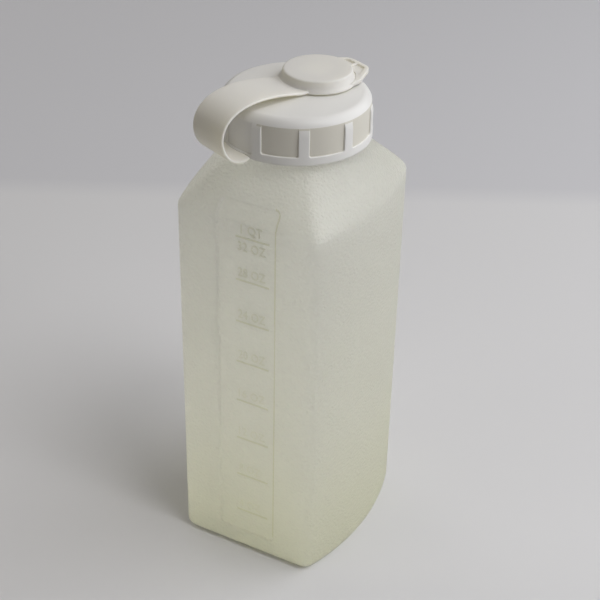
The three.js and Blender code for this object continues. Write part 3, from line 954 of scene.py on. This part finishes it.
def seal_rubber():
    """Matt white rubber with a fine grain."""
    material, tree, shader, coords = new_material("white_seal")
    cloudy(tree, shader, coords, 90, SEAL_CLOUD)
    shader.inputs["Roughness"].default_value = 0.6
    bump(tree, shader, noise(tree, coords, 800), 0.0001, 0.2)
    return material


# ---------------------------------------------------------- floor, light, camera, in metres

CAMERA_AZ = math.radians(28.589)
CAMERA_PITCH = math.radians(32.2885)
CAMERA_ROLL = math.radians(-1.174)
CAMERA_AT = (0.26924, -0.48740, 0.46694)
CAMERA_LENS = 88.418
CAMERA_SENSOR = 36.0
FLOOR_R = 1700.0                   # millimetres, as all points for make_object
FLOOR_STEPS = 96
FLOOR_NEAR = (0.64, 0.638, 0.655)
# The far tone is painted shade, standing for a wall in shade behind the object.
FLOOR_FAR_PAINTED_SHADE = (0.57, 0.57, 0.60)
FAR_LINE = 0.318                   # distance behind the axis at which the floor's shade changes
FAR_BLUR = 0.012                   # half the width of that change
SKY_COLOUR = (1.0, 0.87, 0.68)
SKY_STRENGTH = 0.066
SEEN_COLOUR = (0.55, 0.55, 0.57)
AIM_Z = 0.11
LOW_AIM_Z = 0.02
LOW_SPREAD = math.radians(44)


def add_camera():
    """The photograph's viewing angle."""
    back = Vector((math.sin(CAMERA_AZ) * math.cos(CAMERA_PITCH),
                   -math.cos(CAMERA_AZ) * math.cos(CAMERA_PITCH), math.sin(CAMERA_PITCH)))
    right = Vector((math.cos(CAMERA_AZ), math.sin(CAMERA_AZ), 0))
    up = back.cross(right)
    x_axis = right * math.cos(CAMERA_ROLL) - up * math.sin(CAMERA_ROLL)
    y_axis = right * math.sin(CAMERA_ROLL) + up * math.cos(CAMERA_ROLL)
    turn = Matrix((x_axis, y_axis, back)).transposed().to_4x4()
    data = bpy.data.cameras.new("camera")
    data.sensor_width = CAMERA_SENSOR
    data.lens = CAMERA_LENS
    camera = bpy.data.objects.new("camera", data)
    bpy.context.scene.collection.objects.link(camera)
    camera.matrix_world = Matrix.Translation(CAMERA_AT) @ turn
    bpy.context.scene.camera = camera


def add_floor():
    """A plain pale floor, painted darker from behind the object on: painted shade that stands for
    a wall in shade.
    """
    angle = circle_angles(FLOOR_STEPS)
    rim = with_z(FLOOR_R * np.stack([np.cos(angle), np.sin(angle)], -1), 0)
    floor = make_object("floor", rim, [tuple(range(FLOOR_STEPS))])
    material, tree, shader, coords = new_material("floor")
    away = tree.nodes.new("ShaderNodeVectorMath")
    away.operation = "DOT_PRODUCT"
    tree.links.new(coords, away.inputs[0])
    away.inputs[1].default_value = (-math.sin(CAMERA_AZ), math.cos(CAMERA_AZ), 0)
    far_painted_shade = remap(tree, away.outputs["Value"], FAR_LINE - FAR_BLUR, FAR_LINE + FAR_BLUR, 0, 1)
    colour = ramp(tree, far_painted_shade, ((0.0, FLOOR_NEAR), (1.0, FLOOR_FAR_PAINTED_SHADE)))
    tree.links.new(colour, shader.inputs["Base Color"])
    shader.inputs["Roughness"].default_value = 0.7
    shader.inputs["Specular IOR Level"].default_value = 0.2
    floor.data.materials.append(material)


def add_light(name, azimuth, elevation, distance, size, power, colour, aim_z=AIM_Z):
    """A soft rectangular light that looks at the bottle, unseen by the camera itself. Angles are
    in degrees, distance and size in metres, and power in watts."""
    data = bpy.data.lights.new(name, "AREA")
    data.shape = "RECTANGLE"
    data.size, data.size_y = size
    data.energy = power
    data.color = colour
    light = bpy.data.objects.new(name, data)
    bpy.context.scene.collection.objects.link(light)
    a, e = math.radians(azimuth), math.radians(elevation)
    away = Vector((math.cos(a) * math.cos(e), math.sin(a) * math.cos(e), math.sin(e)))
    light.location = Vector((0, 0, aim_z)) + away * distance
    light.rotation_euler = away.to_track_quat("Z", "Y").to_euler()
    light.visible_camera = False
    return data


def add_world():
    """A weak warm sky for light, and a plain grey where the camera looks past the floor."""
    world = bpy.data.worlds.new("studio")
    world.use_nodes = True
    tree = world.node_tree
    sky = tree.nodes["Background"]
    sky.inputs["Color"].default_value = (*SKY_COLOUR, 1)
    sky.inputs["Strength"].default_value = SKY_STRENGTH
    seen = tree.nodes.new("ShaderNodeBackground")
    seen.inputs["Color"].default_value = (*SEEN_COLOUR, 1)
    path = tree.nodes.new("ShaderNodeLightPath")
    both = tree.nodes.new("ShaderNodeMixShader")
    tree.links.new(path.outputs["Is Camera Ray"], both.inputs["Fac"])
    tree.links.new(sky.outputs["Background"], both.inputs[1])
    tree.links.new(seen.outputs["Background"], both.inputs[2])
    tree.links.new(both.outputs["Shader"], tree.nodes["World Output"].inputs["Surface"])
    bpy.context.scene.world = world


# ---------------------------------------------------------- assembly

def bottle_material(point):
    """0 on the plain wall, 1 on the darker marks and the step's painted shade, 2 on the base."""
    return 2 if on_base(point) else on_mark_or_shaded_step(point)


def finish_faces(piece, materials, choose):
    """Gives each face the material whose number choose says for its middle."""
    for material in materials:
        piece.data.materials.append(material)
    for face in piece.data.polygons:
        face.material_index = int(choose(face.center / MM))


bpy.context.scene.view_settings.view_transform = "Standard"
add_camera()
add_floor()
add_world()
add_light("window", 28, 32, 1.4, (2.2, 1.2), 19.5, (0.965, 0.98, 1.0))
add_light("ceiling", 110, 68, 2.4, (3.2, 3.2), 15.8, (1.0, 0.985, 0.96))
add_light("lamp", -18, 60, 1.5, (0.5, 0.5), 6.2, (1.0, 0.99, 0.98))
add_light("back", 160, 18, 1.6, (1.2, 0.8), 3.5, (1.0, 0.97, 0.92))
low_fill = add_light("low_fill", -128, 6, 0.55, (0.4, 0.06), 0.082, (1.0, 0.98, 0.93), LOW_AIM_Z)
low_fill.spread = LOW_SPREAD

CLEAR = (1.0, 1.0, 1.0)
milky = milky_plastic("milky_polyethylene", CLEAR, CLEAR)
# The marks are tinted darker and yellower; on the step down the strip's right side the same tint
# is painted shade.
milky_marks_and_step_shade = milky_plastic("milky_polyethylene_marks_and_step_shade", (0.92, 0.92, 0.84), (0.88, 0.88, 0.79))
milky_raised = milky_plastic("milky_polyethylene_raised", (0.99, 0.99, 0.97), (0.93, 0.93, 0.88))
milky_base = milky_plastic("milky_polyethylene_base", CLEAR, CLEAR, share=0.45, transmission=0.0)
off_white = off_white_plastic("off_white_polypropylene", (0.89, 0.885, 0.89), 0.14)
# The panels' floors are tinted darker and browner: painted shade in the recesses.
panel_painted_shade = off_white_plastic("off_white_panel_painted_shade", (0.70, 0.675, 0.61), 0.04)
thin_white = off_white_plastic("off_white_thin_strap", (0.99, 0.995, 1.06), 0.38)
rubber = seal_rubber()

bottle = make_bottle()
finish_faces(bottle, (milky, milky_marks_and_step_shade, milky_base), bottle_material)
figures = make_numerals()
figures.data.materials.append(milky_raised)
for piece in (bottle, figures):
    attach(piece, "bottle")

cap = make_cap()
finish_faces(cap, (off_white, panel_painted_shade), on_panel_painted_shade)
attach(cap, "cap")

stopper = make_stopper()
stopper.data.materials.append(thin_white)
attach(stopper, "stopper")

for piece, first, second, begin, finish in make_strap():
    piece.data.materials.append(thin_white)
    start = to_world(begin[0], 0.0, begin[1]) * MM
    end = to_world(finish[0], 0.0, finish[1]) * MM
    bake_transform(piece)

seal = make_seal()
seal.data.materials.append(rubber)
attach(seal, "seal")
